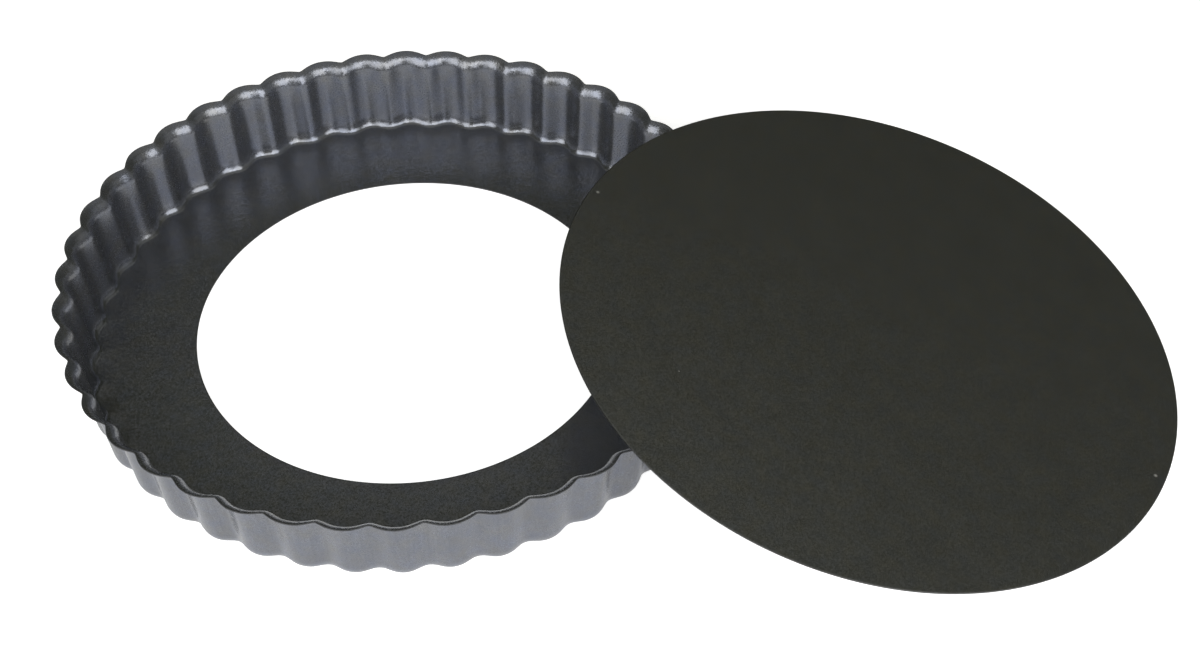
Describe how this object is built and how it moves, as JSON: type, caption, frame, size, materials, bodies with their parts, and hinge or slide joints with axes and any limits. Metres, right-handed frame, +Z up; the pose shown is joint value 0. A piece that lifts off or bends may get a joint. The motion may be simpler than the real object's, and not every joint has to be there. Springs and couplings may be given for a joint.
{
  "type": "tart pan",
  "caption": "Loose-bottomed fluted tart pan: a pressed ring with a flared wall, outward lip and wide inward ledge, with its flat round base leaning on the rim.",
  "frame": {"origin": "bottom centre of the whole arrangement's box: on the table, midway along the row of ring and base", "axes": "+X runs along the row from the ring to the leaning base, +Z is up off the table, +Y completes the right-handed frame"},
  "size_m": [0.4578, 0.2796, 0.0528],
  "materials": {
    "ring_coating": "satin dark grey non-stick coating with a fine metallic flake, on pressed steel sheet",
    "base_coating": "satin near-black non-stick coating on flat steel sheet"
  },
  "bodies": {
    "ring": {"fluted_ring": "ring_coating"},
    "base": {"loose_base": "base_coating"}
  },
  "joints": [
    {"name": "base_lift", "type": "slide", "parent": "ring", "child": "base", "axis": [0, 0, 1], "range_m": [0, 0.06]}
  ]
}
